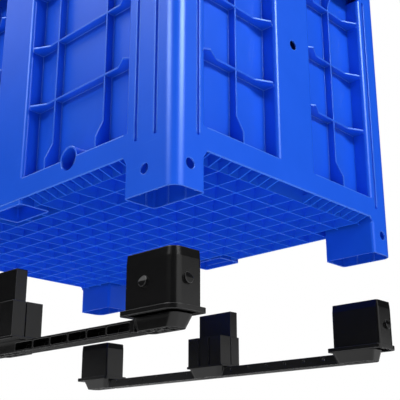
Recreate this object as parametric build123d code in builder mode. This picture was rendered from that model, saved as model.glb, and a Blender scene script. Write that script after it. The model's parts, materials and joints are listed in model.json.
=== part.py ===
"""Bulk container: an open rigid box on four hollow feet, with two snap-in skids lowered beneath it.

Frame: +X along the long side, +Z up, origin under the middle of the box at the soles of the skids.
The front is the long side at -Y, which has the drain.
"""
import os
from math import radians, tan

from build123d import *

os.makedirs("parts", exist_ok=True)

# Box
length = 1200.0  # outside, along X
width = 800.0  # outside, along Y
box_height = 790.0  # foot bottom to rim top
wall = 4.0  # moulded wall
recess = 40.0  # panel skin behind the outer faces
corner_radius = 28.0  # outer corners in plan
tub_radius = 15.0  # inner corners of the tub
edge_radius = 10.0  # upright edges of feet, columns and posts
column_x = 151.0  # corner column and foot, along X
column_y = 88.0  # corner column and foot, along Y
post_half = 70.0  # half the width of a centre post
band_height = 53.0  # skirt band round the base
top_band = 55.0  # rim band round the top

# Feet
foot_height = 92.0  # foot bottom to skirt edge
foot_wall = 3.5
guide_depth = 2.2  # guide ribs inside a foot
guide_width = 4.0
guide_near = 54.0  # guide ribs from the outer corner, along the long wall
guide_far = 105.0
guide_end = 61.0  # guide rib from the outer corner, along the short wall
catch_along = 88.0  # catch hole from the outer corner, on the long face
catch_end = 43.0  # catch hole from the outer corner, on the end face
catch_height = 52.0  # catch hole above the foot bottom
catch_radius = 11.0
catch_clear = 1.0  # catch in its hole in the foot

# Panels
rib = 4.0  # stiffening ribs
rib_depth = 20.0
rib_margin = 101.0  # outer upright rib from the column, on a long side
rib_spacing = 188.0  # between the two upright ribs of a long panel
level_first = 330.0  # level ribs above the foot bottom
level_pitch = 161.0
levels = 3
flare_end = 15.0  # level ribs are full depth to here
flare_start = 55.0  # and back to rib_depth here
gusset_low = 25.0  # upright ribs are full depth to here
gusset_high = 70.0  # and back to rib_depth here
groove_width = 8.0  # upright grooves of the columns
groove_depth = 6.0
groove_near = 58.0  # from the outer corner, on the long face
groove_far = 117.0
groove_end = 65.0  # on the end face
post_hole_radius = 12.5  # hole in the posts of the short sides
post_hole_height = 462.0

# Drain in the front panel
drain_radius = 27.0
drain_wall = 4.0  # collar round the drain
port_radius = 19.0  # port through the skin, at floor level
drain_depth = 34.0

# Underside
crate_depth = 40.0  # crate ribs below the floor
crate_drop = 12.0  # crate and middle sockets below the skirt edge
crate_rib = 2.5
cells_x = 17
cells_y = 11
short_rib_end = 8.0  # short ribs where they meet the skirt, height
short_rib_clear = 8.0  # no short rib nearer to a foot, socket or post
skirt_fillet = 10.0  # skirt to foot
flare_angle = 22.5  # upright edges of a foot, where they turn square below the skirt

# Skids
drop = 232.0  # gap between seats and feet as shown
fit = 0.3  # running clearance
shoe_height = 28.0
flange = 10.0
flange_inset = 1.0  # behind the outer faces
flange_lip = 6.0  # past the inner faces of the foot
bar_offset = 30.0  # outer face of bar and shoes behind the outer face
bar_width = 40.0
bar_height = 25.0
bar_web = 8.0
bar_rail = 4.0
dividers = 5  # between the pockets of each half of the bar
pocket_start = 43.0  # from the middle
divider_near = 115.0  # first divider from the middle
divider_far = 76.0  # last divider from the end shoe
bar_hole_radius = 3.5
bar_hole_height = 16.5
bar_hole_lead = 22.5  # holes short of the next divider
shoe_end = 27.0  # end of the shoe behind the end face, at the flange
shoe_radius = 15.0
shoe_draft = 10.0  # the shoe narrows by this at each sloping face
sole_rib = 5.0
plug_height = 112.0
plug_wall = 4.0
plug_edge = 7.0
lead_in = 18.0
lead_in_angle = 5.0
block_clear = 0.5  # block top below the middle socket when seated
block_half = 66.0
block_inset = 2.0  # block behind the inner face of the socket
post_flange = 6.0
post_slit = 3.0
plate_height = 156.0  # tall plate above the seat
plate_side_clear = 2.5  # tall plate in the socket, at its ends
plate_clear = 1.0  # tall plate in the post, inside
plate_gap = 5.0  # and outside
block_groove = 9.0
block_groove_depth = 4.0
block_groove_x = 20.0
catch_collar = 3.0  # retaining collar, thickness and step
catch_nose = 1.0  # proud of the plug at the top of the ramp

# Levels and planes
hx, hy = length / 2, width / 2
seat_z = shoe_height + flange
foot_z = seat_z + drop
rim_z = foot_z + foot_height
band_z = rim_z + band_height
crate_z = rim_z - crate_drop
deck_z = crate_z + crate_depth
floor_z = deck_z + wall
top_z = foot_z + box_height
cap_z = top_z - top_band
skin_x, skin_y = hx - recess, hy - recess
column_in_x, column_in_y = hx - column_x, hy - column_y
drain_x = column_in_x - rib_margin - rib_spacing / 2
drain_z = floor_z + port_radius + 0.5


def save(solid, name):
    solid.label = name
    export_step(solid, f"parts/{name}.step")


def save_four(solid, name):
    """The piece is made at the front right corner and mirrored to the others."""
    rear = mirror(solid, about=Plane.XZ)
    save(solid, name.format("front", "right"))
    save(rear, name.format("rear", "right"))
    save(mirror(solid, about=Plane.YZ), name.format("front", "left"))
    save(mirror(rear, about=Plane.YZ), name.format("rear", "left"))


def save_pair(solid, name):
    """The piece is made at the front and mirrored to the rear."""
    rear = mirror(solid, about=Plane.XZ)
    save(solid, name.format("front"))
    save(rear, name.format("rear"))


def side_panel(outer, reach, ribs, hole=False, drain=False):
    """A side as seen with its outer face at -Y: skin, post, ledge and stiffening ribs."""
    skin = outer - recess
    shelf = skin + rib_depth
    with BuildPart() as side:
        with BuildSketch(Plane.XY.offset(floor_z)):
            with Locations((0, wall / 2 - skin)):
                Rectangle(2 * reach, wall)
        extrude(amount=cap_z - floor_z)

        # Hollow centre post, open at the bottom
        with BuildSketch(Plane.XY.offset(band_z)) as post:
            with Locations((0, (wall - recess) / 2 - skin)):
                Rectangle(2 * post_half, recess + wall)
            fillet(post.vertices().group_by(Axis.Y)[0], edge_radius)
            offset(amount=-wall, mode=Mode.SUBTRACT)
        extrude(amount=cap_z - band_z)

        # Ledge from the skin out to the top of the skirt
        ledge = reach - post_half + wall
        with BuildSketch(Plane.XY.offset(band_z - wall)):
            with GridLocations(2 * reach - ledge, 1, 2, 1):
                with Locations((0, -(outer - wall + skin) / 2)):
                    Rectangle(ledge, recess - wall)
        extrude(amount=wall)

        # Upright ribs, with gussets at both ends
        for x in ribs:
            with BuildSketch(Plane.YZ.offset(x)):
                Polygon(
                    (-skin, band_z),
                    (-outer, band_z),
                    (-outer, band_z + gusset_low),
                    (-shelf, band_z + gusset_high),
                    (-shelf, cap_z - gusset_high),
                    (-outer, cap_z - gusset_low),
                    (-outer, cap_z),
                    (-skin, cap_z),
                    align=None,
                )
            extrude(amount=rib / 2, both=True)

        # Level ribs, flared against post and column
        for k in range(levels):
            with BuildSketch(Plane.XY.offset(foot_z + level_first + k * level_pitch)):
                Polygon(
                    (post_half - wall / 2, -skin),
                    (reach, -skin),
                    (reach, edge_radius - outer),
                    (reach - flare_end, -outer),
                    (reach - flare_start, -shelf),
                    (post_half + flare_start, -shelf),
                    (post_half + flare_end, -outer),
                    (post_half - wall / 2, edge_radius - outer),
                    align=None,
                )
                mirror(about=Plane.YZ)
            extrude(amount=rib / 2, both=True)

        if hole:
            with BuildSketch(Plane.XZ.offset(outer)):
                with Locations((0, foot_z + post_hole_height)):
                    Circle(post_hole_radius)
            extrude(amount=-2 * wall, mode=Mode.SUBTRACT)

        if drain:
            with BuildSketch(Plane.XZ.offset(outer)):
                with Locations((drain_x, drain_z)):
                    Circle(drain_radius + drain_wall)
            extrude(amount=-recess)
            with BuildSketch(Plane.XZ.offset(outer)):
                with Locations((drain_x, drain_z)):
                    Circle(drain_radius)
            extrude(amount=-drain_depth, mode=Mode.SUBTRACT)
            with BuildSketch(Plane.XZ.offset(outer)):
                with Locations((drain_x, drain_z)):
                    Circle(port_radius)
            extrude(amount=-recess - wall, mode=Mode.SUBTRACT)
            with BuildSketch(Plane.XZ.offset(outer)):
                with Locations((0, rim_z + band_height / 2)):
                    Rectangle(2 * reach, band_height)
            extrude(amount=-wall, mode=Mode.SUBTRACT)
    return side.part


def skirt(outer, reach, drain=False):
    """The band below a panel, as seen with its outer face at -Y."""
    with BuildPart() as band:
        with BuildSketch(Plane.XZ.offset(outer)):
            with Locations((0, rim_z + band_height / 2)):
                Rectangle(2 * reach, band_height)
            if drain:
                with Locations((drain_x, drain_z)):
                    Circle(drain_radius, mode=Mode.SUBTRACT)
        extrude(amount=-wall)
    return band.part


long_ribs = [s * (column_in_x - rib_margin - k * rib_spacing) for k in (0, 1) for s in (1, -1)]
short_ribs = [s * (post_half + column_in_y) / 2 for s in (1, -1)]
end_panel = side_panel(hx, column_in_y, short_ribs, hole=True)
end_skirt = skirt(hx, column_in_y)
save(side_panel(hy, column_in_x, long_ribs, drain=True), "front_panel")
save(side_panel(hy, column_in_x, long_ribs).rotate(Axis.Z, 180), "rear_panel")
save(end_panel.rotate(Axis.Z, 90), "right_panel")
save(end_panel.rotate(Axis.Z, -90), "left_panel")
save(skirt(hy, column_in_x, drain=True), "front_skirt")
save(skirt(hy, column_in_x).rotate(Axis.Z, 180), "rear_skirt")
save(end_skirt.rotate(Axis.Z, 90), "right_skirt")
save(end_skirt.rotate(Axis.Z, -90), "left_skirt")

with BuildPart() as floor_plate:
    with BuildSketch(Plane.XY.offset(deck_z)):
        Rectangle(2 * skin_x, 2 * skin_y)
    extrude(amount=wall)
save(floor_plate.part, "floor_plate")

# Egg-crate of ribs under the floor, with short ribs out to the skirt
pitch_x, pitch_y = 2 * skin_x / cells_x, 2 * skin_y / cells_y
skirt_x, skirt_y = hx - wall, hy - wall
short_x = [k * pitch_x / 2 for k in range(-cells_x, cells_x + 1)]
short_x = [x for x in short_x if post_half + short_rib_clear < abs(x) < column_in_x - short_rib_clear]
short_y = [k * pitch_y / 2 for k in range(-cells_y, cells_y + 1)]
short_y = [y for y in short_y if post_half + short_rib_clear < abs(y) < column_in_y - short_rib_clear]
short_y += [s * post_half for s in (1, -1)]


def crate(middle, size):
    """The ribs inside a rectangle of the plan."""
    with BuildPart() as ribs:
        with BuildSketch(Plane.XY.offset(crate_z)):
            Rectangle(2 * skin_x, 2 * skin_y)
            with GridLocations(pitch_x, pitch_y, cells_x, cells_y):
                Rectangle(pitch_x - crate_rib, pitch_y - crate_rib, mode=Mode.SUBTRACT)
            with Locations(middle):
                Rectangle(*size, mode=Mode.INTERSECT)
        extrude(amount=crate_depth)
        with BuildSketch(Plane.XY.offset(crate_z)):
            with Locations([(x, s * (skin_y + skirt_y) / 2) for x in short_x for s in (1, -1)]):
                Rectangle(crate_rib, skirt_y - skin_y)
            with Locations([(s * (skin_x + skirt_x) / 2, y) for y in short_y for s in (1, -1)]):
                Rectangle(skirt_x - skin_x, crate_rib)
            with Locations(middle):
                Rectangle(*size, mode=Mode.INTERSECT)
        extrude(amount=crate_drop + short_rib_end)
        # Lower edges of the short ribs rise to the edge of the skirt
        for plane, skin, edge, span in (
            (Plane.YZ, skin_y, skirt_y, column_in_x),
            (Plane.XZ, skin_x, skirt_x, column_in_y),
        ):
            with BuildSketch(plane):
                Polygon((skin, crate_z), (edge, crate_z), (edge, rim_z), align=None)
                mirror(about=Plane.YZ)
            extrude(amount=span, both=True, mode=Mode.SUBTRACT)
    return ribs.part


save(crate((0, 0), (length, 2 * column_in_y)), "crate_middle")
side_span = (column_in_x - post_half, skirt_y - column_in_y)
crate_side = crate(((column_in_x + post_half) / 2, -(skirt_y + column_in_y) / 2), side_span)
save_four(crate_side, "crate_side_{}_{}")

# Rim: a channel round the top, open below
with BuildPart() as top_rim:
    with BuildSketch(Plane.XY.offset(cap_z)):
        RectangleRounded(length, width, corner_radius)
        RectangleRounded(2 * (skin_x - wall), 2 * (skin_y - wall), tub_radius, mode=Mode.SUBTRACT)
    extrude(amount=top_band)
    fillet(top_rim.edges().group_by(Axis.Z)[-1], wall / 2)
    with BuildSketch(Plane.XY.offset(cap_z)):
        RectangleRounded(length - 2 * wall, width - 2 * wall, corner_radius - wall)
        RectangleRounded(2 * skin_x, 2 * skin_y, tub_radius + wall, mode=Mode.SUBTRACT)
    extrude(amount=top_band - wall, mode=Mode.SUBTRACT)
save(top_rim.part, "top_rim")

# Middle socket: a collar below the skirt, carried up to the floor inside it
socket_mid = (0, -(hy + column_in_y) / 2)
with BuildPart() as middle_socket:
    with BuildSketch(Plane.XY.offset(crate_z)) as mouth:
        with Locations(socket_mid):
            Rectangle(2 * post_half, column_y)
        fillet(mouth.vertices(), edge_radius)
        offset(amount=-wall, mode=Mode.SUBTRACT)
    extrude(amount=crate_drop)
    with BuildSketch(Plane.XY.offset(rim_z)) as throat:
        with Locations(socket_mid):
            Rectangle(2 * post_half, column_y)
        fillet(throat.vertices().group_by(Axis.Y)[-1], edge_radius)
        offset(amount=-wall, mode=Mode.SUBTRACT)
        with Locations((0, wall / 2 - hy)):
            Rectangle(2 * post_half, wall, mode=Mode.SUBTRACT)
    extrude(amount=deck_z - rim_z)
save_pair(middle_socket.part, "middle_socket_{}")

# Hollow foot, with fillets towards the skirt
foot_mid = (hx - column_x / 2, column_y / 2 - hy)
flare_height = (2**0.5 - 1) * edge_radius / tan(radians(flare_angle))
square_z = rim_z - skirt_fillet / 2


def flare(x, y, way_x, way_y):
    """Spread of a rounded upright edge, whose square corner is at (x, y), into that corner."""
    axis = (x - way_x * edge_radius, y - way_y * edge_radius)
    with BuildPart() as spread:
        with BuildSketch(Plane.XY.offset(square_z - flare_height)):
            with Locations(axis):
                Circle(edge_radius)
        extrude(amount=flare_height, taper=-flare_angle)
        with BuildSketch(Plane.XY.offset(square_z - flare_height)):
            with Locations((x - way_x * edge_radius / 2, y - way_y * edge_radius / 2)):
                Rectangle(edge_radius, edge_radius)
            with Locations(axis):
                Circle(edge_radius - foot_wall / 2, mode=Mode.SUBTRACT)
        extrude(amount=flare_height, mode=Mode.INTERSECT)
    return spread.part


with BuildPart() as foot:
    for low, high, rounded in ((foot_z, square_z, 3), (square_z, deck_z, 1)):
        with BuildSketch(Plane.XY.offset(low)) as ring:
            with Locations(foot_mid):
                Rectangle(column_x, column_y)
            fillet(ring.vertices().sort_by(lambda v: v.X - v.Y)[:rounded], edge_radius)
            fillet(ring.vertices().sort_by(lambda v: v.X - v.Y)[-1], corner_radius)
            offset(amount=-foot_wall, mode=Mode.SUBTRACT)
        extrude(amount=high - low)
    add(flare(column_in_x, -hy, -1, -1))
    add(flare(hx, -column_in_y, 1, 1))
    with BuildSketch(Plane.XZ.offset(hy)):
        with BuildLine():
            Polyline(
                (column_in_x - skirt_fillet, rim_z),
                (column_in_x, rim_z),
                (column_in_x, rim_z - skirt_fillet),
            )
            CenterArc((column_in_x - skirt_fillet, rim_z - skirt_fillet), skirt_fillet, 0, 90)
        make_face()
    extrude(amount=-foot_wall)
    with BuildSketch(Plane.YZ.offset(hx)):
        with BuildLine():
            Polyline(
                (skirt_fillet - column_in_y, rim_z),
                (-column_in_y, rim_z),
                (-column_in_y, rim_z - skirt_fillet),
            )
            CenterArc((skirt_fillet - column_in_y, rim_z - skirt_fillet), skirt_fillet, 90, 90)
        make_face()
    extrude(amount=-foot_wall)

    # Guide ribs on all four walls
    guide_in = foot_wall + guide_depth / 2
    with BuildSketch(Plane.XY.offset(foot_z)):
        for x in (hx - guide_near, hx - guide_far):
            with Locations((x, guide_in - hy), (x, -guide_in - column_in_y)):
                Rectangle(guide_width, guide_depth)
        with Locations((hx - guide_in, guide_end - hy), (column_in_x + guide_in, guide_end - hy)):
            Rectangle(guide_depth, guide_width)
    extrude(amount=foot_height)

    # Catch holes
    with BuildSketch(Plane.XZ.offset(hy)):
        with Locations((hx - catch_along, foot_z + catch_height)):
            Circle(catch_radius + catch_clear)
    extrude(amount=-2 * foot_wall, mode=Mode.SUBTRACT)
    with BuildSketch(Plane.YZ.offset(hx)):
        with Locations((catch_end - hy, foot_z + catch_height)):
            Circle(catch_radius + catch_clear)
    extrude(amount=-2 * foot_wall, mode=Mode.SUBTRACT)
save_four(foot.part, "foot_{}_{}")

# Corner column: an L-shaped tube above the foot, with the inner corner of the tub
tub_corner = (skin_x - wall - column_x / 2, wall + column_y / 2 - skin_y)
with BuildPart() as column:
    with BuildSketch(Plane.XY.offset(deck_z)) as ring:
        with Locations(foot_mid):
            Rectangle(column_x, column_y)
        fillet(ring.vertices().sort_by(lambda v: v.X - v.Y)[-1], corner_radius)
        offset(amount=-wall, mode=Mode.SUBTRACT)
        with Locations((skin_x - column_x / 2, column_y / 2 - skin_y)):
            Rectangle(column_x, column_y, mode=Mode.SUBTRACT)
    extrude(amount=wall)
    for low, high, radius in ((floor_z, band_z, 0), (band_z, cap_z, edge_radius)):
        with BuildSketch(Plane.XY.offset(low)) as tube:
            with Locations(foot_mid):
                Rectangle(column_x, column_y)
            if radius:
                fillet(tube.vertices().sort_by(lambda v: v.X - v.Y)[1:3], radius)
            fillet(tube.vertices().sort_by(lambda v: v.X - v.Y)[-1], corner_radius)
            with Locations(tub_corner):
                Rectangle(column_x, column_y, mode=Mode.SUBTRACT)
            reentrant = tube.vertices().sort_by_distance((skin_x - wall, wall - skin_y))[0]
            fillet(reentrant, tub_radius)
            offset(amount=-wall, mode=Mode.SUBTRACT)
        extrude(amount=high - low)
    # Upright grooves, folded into the wall
    folds = (
        (groove_width + 2 * wall, groove_depth + wall, Mode.ADD),
        (groove_width, groove_depth, Mode.SUBTRACT),
    )
    for across, into, mode in folds:
        with BuildSketch(Plane.XY.offset(deck_z)):
            with Locations((hx - groove_near, into / 2 - hy), (hx - groove_far, into / 2 - hy)):
                Rectangle(across, into)
            with Locations((hx - into / 2, groove_end - hy)):
                Rectangle(into, across)
        extrude(amount=cap_z - deck_z, mode=mode)
save_four(column.part, "corner_column_{}_{}")

# Runner of a skid: pocketed bar with a tapered shoe at each end and in the middle
bar_y = hy - bar_offset
bar_in = bar_y - bar_width
bar_end = column_in_x + shoe_draft
end_shoe_x = (column_in_x, hx - shoe_end)
divider_pitch = (column_in_x - divider_far - divider_near) / (dividers - 1)
divider_x = [divider_near + k * divider_pitch for k in range(dividers + 1)]
pocket_ends = [pocket_start, *divider_x[:-1], column_in_x]
with BuildPart() as runner:
    with BuildSketch(Plane.XY):
        with Locations((0, -(bar_y + bar_in) / 2)):
            Rectangle(2 * bar_end, bar_width)
    extrude(amount=bar_height)
    shoes = ((-end_shoe_x[1], -end_shoe_x[0]), (-block_half, block_half), end_shoe_x)
    for low, high in shoes:
        with BuildSketch(Plane.XY) as sole:
            with Locations(((low + high) / 2, -(bar_y + column_in_y + shoe_draft) / 2)):
                Rectangle(high - low - 2 * shoe_draft, bar_y - column_in_y - shoe_draft)
            fillet(sole.vertices(), shoe_radius)
        with BuildSketch(Plane.XY.offset(shoe_height)) as head:
            with Locations(((low + high) / 2, -(bar_y + column_in_y) / 2)):
                Rectangle(high - low, bar_y - column_in_y)
            fillet(head.vertices(), shoe_radius)
        loft()
        # Hollows in the sole, between ribs
        cell_x = (high - low - 2 * shoe_draft - 2 * shoe_radius) / 3
        cell_y = (bar_y - column_in_y - shoe_draft - 2 * sole_rib) / 2
        with BuildSketch(Plane.XY):
            with Locations(((low + high) / 2, -(bar_y + column_in_y + shoe_draft) / 2)):
                with GridLocations(cell_x, cell_y, 3, 2):
                    Rectangle(cell_x - sole_rib, cell_y - sole_rib)
        extrude(amount=shoe_height - sole_rib, mode=Mode.SUBTRACT)

    # Pockets along the outer face, each with a hole through the web
    with BuildSketch(Plane.XZ.offset(bar_y)) as windows:
        for low, high in zip(pocket_ends, pocket_ends[1:]):
            with Locations(((low + high) / 2, bar_height / 2)):
                Rectangle(high - low - bar_rail, bar_height - 2 * bar_rail)
        fillet(windows.vertices(), bar_rail)
        mirror(about=Plane.YZ)
    extrude(amount=bar_web - bar_width, mode=Mode.SUBTRACT)
    with BuildSketch(Plane.XZ.offset(bar_y)):
        with Locations([(x - bar_hole_lead, bar_hole_height) for x in divider_x]):
            Circle(bar_hole_radius)
        mirror(about=Plane.YZ)
    extrude(amount=-bar_width, mode=Mode.SUBTRACT)
save_pair(runner.part, "runner_{}")

# End plug: flange and hollow plug that fills a foot between its guide ribs
inset = foot_wall + guide_depth + fit
plug_x, plug_y = column_x - 2 * inset, column_y - 2 * inset
flange_x, flange_y = column_x + flange_lip - flange_inset, column_y + flange_lip - flange_inset
catch_at = (hx - catch_along, seat_z + catch_height)
with BuildPart() as end_plug:
    with BuildSketch(Plane.XY.offset(shoe_height)) as plate:
        with Locations((hx - flange_inset - flange_x / 2, flange_inset + flange_y / 2 - hy)):
            Rectangle(flange_x, flange_y)
        fillet(plate.vertices().sort_by(lambda v: v.X - v.Y)[:3], edge_radius)
        fillet(plate.vertices().sort_by(lambda v: v.X - v.Y)[-1], corner_radius)
    extrude(amount=flange)
    with BuildSketch(Plane.XY.offset(seat_z)) as plug:
        with Locations(foot_mid):
            Rectangle(plug_x, plug_y)
        fillet(plug.vertices().sort_by(lambda v: v.X - v.Y)[:3], plug_edge)
        fillet(plug.vertices().sort_by(lambda v: v.X - v.Y)[-1], corner_radius - inset)
    extrude(amount=plug_height - lead_in)
    extrude(end_plug.faces().sort_by(Axis.Z)[-1], amount=lead_in, taper=lead_in_angle)
    with BuildSketch(Plane.XY.offset(shoe_height)) as core:
        with Locations(foot_mid):
            Rectangle(plug_x - 2 * plug_wall, plug_y - 2 * plug_wall)
        fillet(core.vertices().sort_by(lambda v: v.X - v.Y)[:3], plug_edge - plug_wall)
        fillet(core.vertices().sort_by(lambda v: v.X - v.Y)[-1], corner_radius - inset - plug_wall)
    extrude(amount=flange + plug_height - lead_in, mode=Mode.SUBTRACT)
    with BuildSketch(Plane.XZ.offset(hy)):
        with Locations(catch_at):
            Circle(catch_radius + fit)
    extrude(amount=-2 * inset, mode=Mode.SUBTRACT)
    with BuildSketch(Plane.YZ.offset(hx)):
        with Locations((catch_end - hy, catch_at[1])):
            Circle(catch_radius + fit)
    extrude(amount=-2 * inset, mode=Mode.SUBTRACT)
save_four(end_plug.part, "end_plug_{}_{}")

# Middle post of a skid: block under the socket and tall plate that enters it
block_z = seat_z + foot_height - crate_drop - block_clear
plate_half = post_half - wall - plate_side_clear
plate_in = skin_y + plate_clear
plate_thick = recess - wall - plate_clear - plate_gap
block_in, block_out = column_in_y + block_inset, hy - wall
with BuildPart() as middle_post:
    with BuildSketch(Plane.XY.offset(shoe_height)) as base:
        with Locations((0, -(block_in + block_out) / 2)):
            Rectangle(2 * (block_half + post_flange), block_out - block_in + post_flange)
        fillet(base.vertices(), post_flange)
    extrude(amount=post_flange)
    with BuildSketch(Plane.XY.offset(shoe_height + post_flange)):
        with Locations((0, -(block_in + block_out) / 2)):
            Rectangle(2 * block_half, block_out - block_in)
        with Locations((0, post_slit / 2 - plate_in)):
            Rectangle(2 * block_half, post_slit, mode=Mode.SUBTRACT)
        with GridLocations(2 * block_groove_x, 1, 2, 1):
            with Locations((0, -block_in - block_groove_depth / 2)):
                Rectangle(block_groove, block_groove_depth, mode=Mode.SUBTRACT)
    extrude(amount=block_z - shoe_height - post_flange)
    with BuildSketch(Plane.XY.offset(block_z)) as tongue:
        with Locations((0, -plate_in - plate_thick / 2)):
            Rectangle(2 * plate_half, plate_thick)
    extrude(amount=seat_z + plate_height - block_z)
    fillet(middle_post.faces().sort_by(Axis.Z)[-1].edges(), 2)
save_pair(middle_post.part, "middle_post_{}")

# Snap catches: round noses with a ramp on their upper half and a retaining collar behind the plug wall
collar_at = inset + plug_wall + fit
with BuildPart() as side_catch:
    with BuildSketch(Plane.XZ.offset(hy)):
        with Locations(catch_at):
            Circle(catch_radius)
    extrude(amount=-collar_at)
    with BuildSketch(Plane.XZ.offset(hy - collar_at)):
        with Locations(catch_at):
            Circle(catch_radius + catch_collar)
    extrude(amount=-catch_collar)
    with BuildSketch(Plane.YZ.offset(catch_at[0])):
        Polygon(
            (-hy, catch_at[1]),
            (-hy, catch_at[1] + catch_radius),
            (inset - catch_nose - hy, catch_at[1] + catch_radius),
            align=None,
        )
    extrude(amount=catch_radius, both=True, mode=Mode.SUBTRACT)
save_four(side_catch.part, "side_catch_{}_{}")

with BuildPart() as end_catch:
    with BuildSketch(Plane.YZ.offset(hx)):
        with Locations((catch_end - hy, catch_at[1])):
            Circle(catch_radius)
    extrude(amount=-collar_at)
    with BuildSketch(Plane.YZ.offset(hx - collar_at)):
        with Locations((catch_end - hy, catch_at[1])):
            Circle(catch_radius + catch_collar)
    extrude(amount=-catch_collar)
    with BuildSketch(Plane.XZ.offset(hy - catch_end)):
        Polygon(
            (hx, catch_at[1]),
            (hx, catch_at[1] + catch_radius),
            (hx - inset + catch_nose, catch_at[1] + catch_radius),
            align=None,
        )
    extrude(amount=catch_radius, both=True, mode=Mode.SUBTRACT)
save_four(end_catch.part, "end_catch_{}_{}")
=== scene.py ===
"""Bulk container with its two snap-in skids lowered beneath it: finishes, studio and camera."""
import json
from math import cos, radians, sin

import bpy
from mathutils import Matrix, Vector


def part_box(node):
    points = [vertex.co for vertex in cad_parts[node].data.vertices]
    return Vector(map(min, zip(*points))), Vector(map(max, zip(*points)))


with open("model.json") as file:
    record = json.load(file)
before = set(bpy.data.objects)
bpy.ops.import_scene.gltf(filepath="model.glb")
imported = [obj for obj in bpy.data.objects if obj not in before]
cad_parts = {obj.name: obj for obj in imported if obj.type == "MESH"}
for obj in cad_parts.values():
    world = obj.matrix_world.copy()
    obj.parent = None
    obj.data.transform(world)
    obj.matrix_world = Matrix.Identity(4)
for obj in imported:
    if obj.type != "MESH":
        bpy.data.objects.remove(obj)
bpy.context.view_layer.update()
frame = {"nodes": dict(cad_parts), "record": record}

# Where a Mix node keeps its two values and its result, by data type
mix_slots = {"VECTOR": (4, 5, 1), "RGBA": (6, 7, 2)}


# Shader building blocks
def shader_group(name, inputs, outputs):
    """An empty node group with float inputs (name, default) and outputs (name, socket type)."""
    group = bpy.data.node_groups.new(name, "ShaderNodeTree")
    for label, default in inputs:
        socket = group.interface.new_socket(label, in_out="INPUT", socket_type="NodeSocketFloat")
        socket.default_value = default
    for label, kind in outputs:
        group.interface.new_socket(label, in_out="OUTPUT", socket_type=kind)
    return group, group.nodes.new("NodeGroupInput"), group.nodes.new("NodeGroupOutput")


def fill(tree, socket, value):
    """Give a socket a number or an RGB colour, or link another socket to it."""
    if isinstance(value, (int, float)):
        socket.default_value = value
    elif isinstance(value, tuple):
        socket.default_value = (*value, 1.0)
    else:
        tree.links.new(value, socket)


def math_node(tree, operation, *values, clamp=False):
    """A math node; each value is a number or a socket to link."""
    node = tree.nodes.new("ShaderNodeMath")
    node.operation = operation
    node.use_clamp = clamp
    for socket, value in zip(node.inputs, values):
        fill(tree, socket, value)
    return node.outputs[0]


def product(tree, first, *others):
    """Sockets and numbers multiplied together."""
    for other in others:
        first = math_node(tree, "MULTIPLY", first, other)
    return first


def noise(tree, place, scale, detail=2.0, rough=0.5):
    """A noise texture's value at place; scale counts its lumps in a metre."""
    node = tree.nodes.new("ShaderNodeTexNoise")
    for label, value in (("Vector", place), ("Scale", scale), ("Detail", detail), ("Roughness", rough)):
        fill(tree, node.inputs[label], value)
    return node.outputs["Fac"]


def ramp(tree, value, low, high):
    """0 below low and 1 above high, eased."""
    node = tree.nodes.new("ShaderNodeMapRange")
    node.interpolation_type = "SMOOTHSTEP"
    for label, content in (("Value", value), ("From Min", low), ("From Max", high)):
        fill(tree, node.inputs[label], content)
    return node.outputs["Result"]


def mix(tree, kind, base, other, mask):
    """base drawn towards other by mask."""
    node = tree.nodes.new("ShaderNodeMix")
    node.data_type = kind
    base_slot, other_slot, result_slot = mix_slots[kind]
    fill(tree, node.inputs[base_slot], base)
    fill(tree, node.inputs[other_slot], other)
    fill(tree, node.inputs[0], mask)
    return node.outputs[result_slot]


def vector_math(tree, operation, *vectors):
    """The number that an operation makes of vectors."""
    node = tree.nodes.new("ShaderNodeVectorMath")
    node.operation = operation
    for socket, vector in zip(node.inputs, vectors):
        tree.links.new(vector, socket)
    return node.outputs["Value"]


def axes(tree, vector):
    """The x, y and z of a vector."""
    node = tree.nodes.new("ShaderNodeSeparateXYZ")
    tree.links.new(vector, node.inputs[0])
    return node.outputs["X"], node.outputs["Y"], node.outputs["Z"]


def object_place(tree):
    """The place on the object, in metres."""
    return tree.nodes.new("ShaderNodeTexCoord").outputs["Object"]


def surface_normal(tree):
    """The direction that the surface faces."""
    return tree.nodes.new("ShaderNodeNewGeometry").outputs["Normal"]


# Effects that the finishes share
def moulded_grain():
    """Fine spark-eroded grain of the mould, slow waviness of the cooled wall, and uneven pigment."""
    tree, given, result = shader_group(
        "moulded_grain",
        [("Grain Size", 1.2)],
        [("Height", "NodeSocketFloat"), ("Pigment", "NodeSocketFloat"), ("Gloss", "NodeSocketFloat")],
    )
    millimetres_in_metre = 1000.0
    grain_height = 0.00001
    wave_height = 0.0004
    place = object_place(tree)
    grain_scale = math_node(tree, "DIVIDE", millimetres_in_metre, given.outputs["Grain Size"])
    grain = product(tree, noise(tree, place, scale=grain_scale, rough=0.6), grain_height)
    wave = product(tree, noise(tree, place, scale=14.0, detail=1.0), wave_height)
    tree.links.new(math_node(tree, "ADD", grain, wave), result.inputs["Height"])
    tree.links.new(noise(tree, place, scale=5.0, detail=4.0, rough=0.55), result.inputs["Pigment"])
    tree.links.new(noise(tree, place, scale=38.0, detail=3.0, rough=0.6), result.inputs["Gloss"])
    return tree


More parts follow.
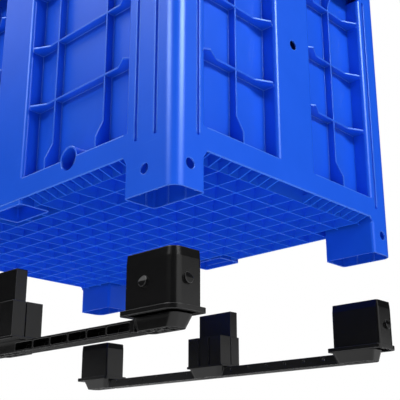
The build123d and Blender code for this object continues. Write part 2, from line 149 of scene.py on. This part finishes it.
def moulding_joins():
    """1 where two solids of the one-piece box meet flush, so that no edge shows there."""
    tree, given, result = shader_group("moulding_joins", [("Reach", 0.0028)], [("Join", "NodeSocketFloat")])
    x, y, z = axes(tree, object_place(tree))
    x = math_node(tree, "ABSOLUTE", x)
    y = math_node(tree, "ABSOLUTE", y)

    def near(value, plane):
        """1 where value lies within Reach of a plane."""
        gap = math_node(tree, "ABSOLUTE", math_node(tree, "SUBTRACT", value, plane))
        return math_node(tree, "LESS_THAN", gap, given.outputs["Reach"])

    # The middle sockets are as wide as the centre posts that stand on the skirt
    column, post_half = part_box("corner_column_rear_right"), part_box("middle_socket_front")[1].x
    post_margin = 0.0005
    on_post = math_node(tree, "LESS_THAN", math_node(tree, "MINIMUM", x, y), post_half + post_margin)
    join = product(tree, near(z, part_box("front_skirt")[1].z), on_post)
    for value, plane in ((x, column[0].x), (y, column[0].y), (z, column[0].z), (z, column[1].z)):
        join = math_node(tree, "MAXIMUM", join, near(value, plane))
    tree.links.new(join, result.inputs["Join"])
    return tree


def rounded_edges():
    """Edges as the mould rounds them: a softened normal, and a mask of where the rounding is."""
    tree, given, result = shader_group(
        "rounded_edges",
        [("Radius", 0.002), ("Join", 0.0)],
        [("Normal", "NodeSocketVector"), ("Edge", "NodeSocketFloat")],
    )
    bevel = tree.nodes.new("ShaderNodeBevel")
    bevel.samples = 6
    tree.links.new(given.outputs["Radius"], bevel.inputs["Radius"])
    rounded = bevel.outputs["Normal"]
    flat = surface_normal(tree)
    tree.links.new(mix(tree, "VECTOR", rounded, flat, given.outputs["Join"]), result.inputs["Normal"])
    bent = math_node(tree, "SUBTRACT", 1.0, vector_math(tree, "DOT_PRODUCT", rounded, flat))
    edge = math_node(tree, "SUBTRACT", bent, given.outputs["Join"], clamp=True)
    tree.links.new(edge, result.inputs["Edge"])
    return tree


def marks_and_edge_glint():
    """Lighter edges that break up, partly scuffs and partly a painted highlight on the rounding, and faint
    long scratches on the faces.
    """
    tree, given, result = shader_group(
        "marks_and_edge_glint",
        [("Edge", 0.0), ("Wear", 0.5), ("Scratches", 0.5)],
        [("ScuffAndGlint", "NodeSocketFloat"), ("Scratch", "NodeSocketFloat")],
    )
    scratch_turn = (0.3, 0.5, 0.35)
    scratch_stretch = (7.0, 160.0, 160.0)
    place = object_place(tree)
    broken = ramp(tree, noise(tree, place, scale=26.0, detail=4.0, rough=0.6), 0.1, 0.5)
    on_edge = ramp(tree, given.outputs["Edge"], 0.005, 0.06)
    drawn = tree.nodes.new("ShaderNodeMapping")
    drawn.inputs["Rotation"].default_value = scratch_turn
    drawn.inputs["Scale"].default_value = scratch_stretch
    tree.links.new(place, drawn.inputs["Vector"])
    lines = ramp(tree, noise(tree, drawn.outputs["Vector"], scale=1.6), 0.66, 0.72)
    patches = ramp(tree, noise(tree, place, scale=3.2), 0.5, 0.7)
    # Mask of the lighter edge colour: partly scuffs, partly a painted highlight along the rounded edges
    tree.links.new(product(tree, on_edge, broken, given.outputs["Wear"]), result.inputs["ScuffAndGlint"])
    tree.links.new(product(tree, lines, patches, given.outputs["Scratches"]), result.inputs["Scratch"])
    return tree


def settled_dust():
    """Dust on faces that look up, gathered in soft patches."""
    tree, given, result = shader_group("settled_dust", [("Amount", 0.3)], [("Dust", "NodeSocketFloat")])
    upward = axes(tree, surface_normal(tree))[2]
    facing = ramp(tree, upward, 0.35, 0.95)
    cloud = noise(tree, object_place(tree), scale=9.0, detail=5.0, rough=0.6)
    patch = ramp(tree, cloud, 0.3, 0.75)
    tree.links.new(product(tree, facing, patch, given.outputs["Amount"]), result.inputs["Dust"])
    return tree


def painted_corner_shade():
    """Painted shade in bores and inner corners, darker where less open space is around."""
    tree, given, result = shader_group("painted_corner_shade", [("Amount", 0.5)], [("PaintedShade", "NodeSocketFloat")])
    shade_reach = 0.045
    open_sky = tree.nodes.new("ShaderNodeAmbientOcclusion")
    open_sky.samples = 8
    open_sky.inputs["Distance"].default_value = shade_reach
    closed = math_node(tree, "SUBTRACT", 1.0, ramp(tree, open_sky.outputs["AO"], 0.2, 0.85))
    tree.links.new(product(tree, closed, given.outputs["Amount"]), result.inputs["PaintedShade"])
    return tree


effects = {
    "grain": moulded_grain(),
    "joins": moulding_joins(),
    "edges": rounded_edges(),
    "marks_and_glint": marks_and_edge_glint(),
    "dust": settled_dust(),
    "painted_shade": painted_corner_shade(),
}


def use(tree, effect, **values):
    """An effect placed in a material; values are numbers or sockets by input name."""
    node = tree.nodes.new("ShaderNodeGroup")
    node.node_tree = effects[effect]
    for name, value in values.items():
        fill(tree, node.inputs[name.replace("_", " ")], value)
    return node


# Finishes
def moulded_plastic(
    name, deep, light, worn_and_glint, dusty, gloss_tint, rough, specular, grain_size, edge_radius, wear_and_glint, dust,
    painted_shade=0.0,
):
    """Satin moulded plastic: pigment between deep and light, a lighter colour on edges (partly scuffs,
    partly painted highlight) and on scratches, and, if set, painted shade in bores and inner corners.
    """
    join_margin = 0.0003
    scratch_share = 0.2
    painted_shade_factor = 0.2
    gloss_spread = 0.06
    dust_rough = 0.3
    material = bpy.data.materials.new(name)
    material.use_nodes = True
    tree = material.node_tree
    shader = tree.nodes["Principled BSDF"]
    grain = use(tree, "grain", Grain_Size=grain_size)
    joins = use(tree, "joins", Reach=edge_radius + join_margin)
    edges = use(tree, "edges", Radius=edge_radius, Join=joins.outputs["Join"])
    marks_and_glint = use(tree, "marks_and_glint", Edge=edges.outputs["Edge"], Wear=wear_and_glint, Scratches=scratch_share * wear_and_glint)
    powder = use(tree, "dust", Amount=dust).outputs["Dust"]

    colour = mix(tree, "RGBA", deep, light, ramp(tree, grain.outputs["Pigment"], 0.25, 0.75))
    # Painted shade: the colour drawn towards a darker blue in bores and inner corners
    if painted_shade:
        painted_shade_colour = tuple(painted_shade_factor * channel for channel in deep)
        colour = mix(tree, "RGBA", colour, painted_shade_colour, use(tree, "painted_shade", Amount=painted_shade).outputs["PaintedShade"])
    mark_and_glint_mask = math_node(tree, "MAXIMUM", marks_and_glint.outputs["ScuffAndGlint"], marks_and_glint.outputs["Scratch"])
    # Edges and scratches drawn towards the lighter colour; on edges this is partly a painted highlight
    colour = mix(tree, "RGBA", colour, worn_and_glint, mark_and_glint_mask)
    colour = mix(tree, "RGBA", colour, dusty, powder)
    tree.links.new(colour, shader.inputs["Base Color"])

    least_rough = rough - gloss_spread / 2
    roughness = math_node(tree, "MULTIPLY_ADD", grain.outputs["Gloss"], gloss_spread, least_rough)
    roughness = math_node(tree, "MULTIPLY_ADD", powder, dust_rough, roughness, clamp=True)
    tree.links.new(roughness, shader.inputs["Roughness"])
    shader.inputs["Specular IOR Level"].default_value = specular
    shader.inputs["Specular Tint"].default_value = (*gloss_tint, 1.0)

    bump = tree.nodes.new("ShaderNodeBump")
    bump.inputs["Strength"].default_value = 0.5
    bump.inputs["Distance"].default_value = 1.0
    tree.links.new(grain.outputs["Height"], bump.inputs["Height"])
    tree.links.new(edges.outputs["Normal"], bump.inputs["Normal"])
    tree.links.new(bump.outputs["Normal"], shader.inputs["Normal"])
    return material


blue = {
    "dusty": (0.26, 0.31, 0.52),
    "gloss_tint": (0.36, 0.55, 1.0),
    "grain_size": 1.2,
    "dust": 0.12,
}
blue_wall = {
    **blue,
    "deep": (0.007, 0.100, 0.79),
    "light": (0.010, 0.112, 0.85),
    # Lighter blue for scuffed edges and scratches, on edges also a painted highlight
    "worn_and_glint": (0.10, 0.30, 1.0),
    "rough": 0.32,
    "specular": 1.0,
    "wear_and_glint": 0.6,
}
blue_rib = {
    **blue,
    # The same plastic as the walls, drawn paler and greener here: painted light on the underside ribs
    "deep": (0.014, 0.128, 0.79),
    "light": (0.018, 0.142, 0.85),
    # Lighter blue for rib edges and scratches, on edges also a painted highlight
    "worn_and_glint": (0.02, 0.16, 1.0),
    "rough": 0.4,
    "specular": 0.25,
    "wear_and_glint": 0.1,
}
black = {
    "dusty": (0.06, 0.058, 0.055),
    "gloss_tint": (1.0, 1.0, 1.0),
    "grain_size": 0.9,
    "dust": 0.25,
    "deep": (0.003, 0.003, 0.0033),
    "light": (0.005, 0.005, 0.0053),
    # Lighter grey for scuffed edges and scratches, on edges also a painted highlight
    "worn_and_glint": (0.08, 0.08, 0.082),
    "rough": 0.23,
    "specular": 0.4,
    "wear_and_glint": 0.8,
}
finishes = {
    "box_plastic": moulded_plastic("blue_box_plastic", edge_radius=0.0025, painted_shade=0.48, **blue_wall),
    "frame_plastic": moulded_plastic("blue_frame_plastic", edge_radius=0.005, **blue_wall),
    "crate_plastic": moulded_plastic("blue_crate_plastic", edge_radius=0.0006, **blue_rib),
    "skid_plastic": moulded_plastic("black_skid_plastic", edge_radius=0.0018, **black),
}
# Pieces with another finish than their slot's, known by a part of their name
other_finishes = {"crate_": "crate_plastic", "corner_column_": "frame_plastic", "_skirt": "frame_plastic"}
for row in frame["record"]["subparts"]:
    mesh = frame["nodes"][row["node"]].data
    mesh.materials.clear()
    slot = row["material_slot"]
    for part, finish in other_finishes.items():
        if part in row["node"]:
            slot = finish
    mesh.materials.append(finishes[slot])


# Studio
def new_object(name, data):
    """An object in the scene."""
    item = bpy.data.objects.new(name, data)
    bpy.context.scene.collection.objects.link(item)
    return item


def flat_panel(name, corners, material):
    """A mesh object of one four-cornered face."""
    mesh = bpy.data.meshes.new(name)
    mesh.from_pydata(corners, [], [(0, 1, 2, 3)])
    mesh.materials.append(material)
    return new_object(name, mesh)


def mix_shaders(tree, mask, first, second):
    """first where mask is 0 and second where it is 1."""
    node = tree.nodes.new("ShaderNodeMixShader")
    for socket, source in zip(node.inputs, (mask, first.outputs[0], second.outputs[0])):
        tree.links.new(source, socket)
    return node


def pale_floor():
    """Pale matt floor that the camera sees fade to white far off, and that is clear from below."""
    fade_start = 1.0
    fade_end = 4.5
    material = bpy.data.materials.new("pale_floor")
    material.use_nodes = True
    tree = material.node_tree
    shader = tree.nodes["Principled BSDF"]
    shader.inputs["Roughness"].default_value = 0.9
    shader.inputs["Specular IOR Level"].default_value = 0.1
    place = object_place(tree)
    pale = mix(tree, "RGBA", (0.86, 0.86, 0.86), (0.9, 0.9, 0.9), noise(tree, place, scale=2.0))
    tree.links.new(pale, shader.inputs["Base Color"])
    far = ramp(tree, vector_math(tree, "LENGTH", place), fade_start, fade_end)
    fade = product(tree, far, tree.nodes.new("ShaderNodeLightPath").outputs["Is Camera Ray"])
    faded = mix_shaders(tree, fade, shader, tree.nodes.new("ShaderNodeEmission"))
    below = tree.nodes.new("ShaderNodeNewGeometry").outputs["Backfacing"]
    surface = mix_shaders(tree, below, faded, tree.nodes.new("ShaderNodeBsdfTransparent"))
    tree.links.new(surface.outputs[0], tree.nodes["Material Output"].inputs["Surface"])
    return material


def studio_floor():
    """Wide floor just under the skids; the camera looks up through it."""
    reach = 40.0
    gap = 0.0006
    corners = [(-reach, -reach, 0), (reach, -reach, 0), (reach, reach, 0), (-reach, reach, 0)]
    floor = flat_panel("studio_floor", corners, pale_floor())
    floor.location.z = -gap
    floor.visible_diffuse = floor.visible_glossy = floor.visible_shadow = False


def studio_surroundings():
    """A white room: full white to the camera and in reflections, a weak fill as light."""
    fill_strength = 0.2
    seen_strength = 1.0
    world = bpy.data.worlds.new("studio")
    bpy.context.scene.world = world
    world.use_nodes = True
    tree = world.node_tree
    background = tree.nodes["Background"]
    path = tree.nodes.new("ShaderNodeLightPath")
    seen = math_node(tree, "MAXIMUM", path.outputs["Is Camera Ray"], path.outputs["Is Glossy Ray"])
    seen = math_node(tree, "MAXIMUM", seen, path.outputs["Is Transmission Ray"])
    strength = tree.nodes.new("ShaderNodeMapRange")
    tree.links.new(seen, strength.inputs["Value"])
    strength.inputs["To Min"].default_value = fill_strength
    strength.inputs["To Max"].default_value = seen_strength
    tree.links.new(strength.outputs["Result"], background.inputs["Strength"])
    background.inputs["Color"].default_value = (1.0, 1.0, 1.0, 1.0)


def studio_lamps():
    """Six soft lamps; the two below the floor stay out of reflections."""
    for name, place, aim, size, power, mirrored in (
        ("right_softbox", (4.56, 0.16, 3.16), (0.6, -0.4, 0.5), (2.6, 1.0), 196.0, True),
        ("left_softbox", (-0.46, -4.34, 3.03), (0.6, -0.4, 0.5), (2.3, 0.75), 80.0, True),
        ("top_softbox", (-1.17, -2.04, 4.31), (0.3, -0.4, 0.5), (2.0, 2.4), 92.0, True),
        ("low_softbox", (1.8, -1.2, -2.6), (0.0, 0.0, 0.4), (4.0, 4.0), 85.0, False),
        ("under_softbox", (-1.4, 0.4, -3.0), (0.0, 0.0, 0.4), (4.0, 4.0), 132.0, False),
        ("rear_softbox", (-3.5, 3.5, 2.8), (0.0, 0.0, 0.6), (3.0, 3.0), 95.0, True),
    ):
        data = bpy.data.lights.new(name, "AREA")
        data.shape = "RECTANGLE"
        data.size, data.size_y = size
        data.energy = power
        lamp = new_object(name, data)
        lamp.location = place
        lamp.rotation_euler = (Vector(aim) - Vector(place)).to_track_quat("-Z", "Y").to_euler()
        lamp.visible_camera = False
        lamp.visible_glossy = mirrored


def studio_flags():
    """Dark upright flags, seen by reflections alone, that keep the glossy faces deep in colour."""
    felt = bpy.data.materials.new("dark_felt")
    felt.use_nodes = True
    shader = felt.node_tree.nodes["Principled BSDF"]
    shader.inputs["Base Color"].default_value = (0.02, 0.02, 0.02, 1.0)
    shader.inputs["Specular IOR Level"].default_value = 0.0
    # Ends in plan, height of the edge next to the horizon at each end, height of the edge away from it
    for name, start, end, start_z, end_z, far_z in (
        ("left_flag", (-9.0, -1.0), (3.0, -9.0), 0.45, 0.45, 4.25),
        ("right_flag", (9.0, -3.0), (1.0, 9.0), 3.8, -0.4, 10.0),
        ("middle_flag", (3.0, -9.0), (9.0, -3.0), -0.4, -0.4, 10.0),
        ("rear_left_flag", (-9.0, -1.0), (-6.0, 6.0), 0.2, 0.2, 10.0),
        ("rear_flag", (-6.0, 6.0), (1.0, 9.0), 0.2, 0.2, 10.0),
        ("low_flag", (-7.0, 0.0), (0.0, 7.0), -0.4, -0.4, -6.0),
    ):
        corners = [(*start, start_z), (*end, end_z), (*end, far_z), (*start, far_z)]
        flag = flat_panel(name, corners, felt)
        flag.visible_camera = flag.visible_diffuse = flag.visible_shadow = flag.visible_transmission = False


def studio_camera():
    """Low in front of the right-hand corner, looking up at the underside."""
    data = bpy.data.cameras.new("camera")
    data.lens = 71.15
    data.shift_y = 0.05
    camera = new_object("camera", data)
    camera.location = (1.6253, -1.3981, -0.2530)
    yaw, pitch = radians(43.805), radians(17.35)
    look = Vector((-sin(yaw) * cos(pitch), cos(yaw) * cos(pitch), sin(pitch)))
    camera.rotation_euler = look.to_track_quat("-Z", "Y").to_euler()
    bpy.context.scene.camera = camera


studio_floor()
studio_surroundings()
studio_lamps()
studio_flags()
studio_camera()
bpy.context.scene.view_settings.view_transform = "Standard"
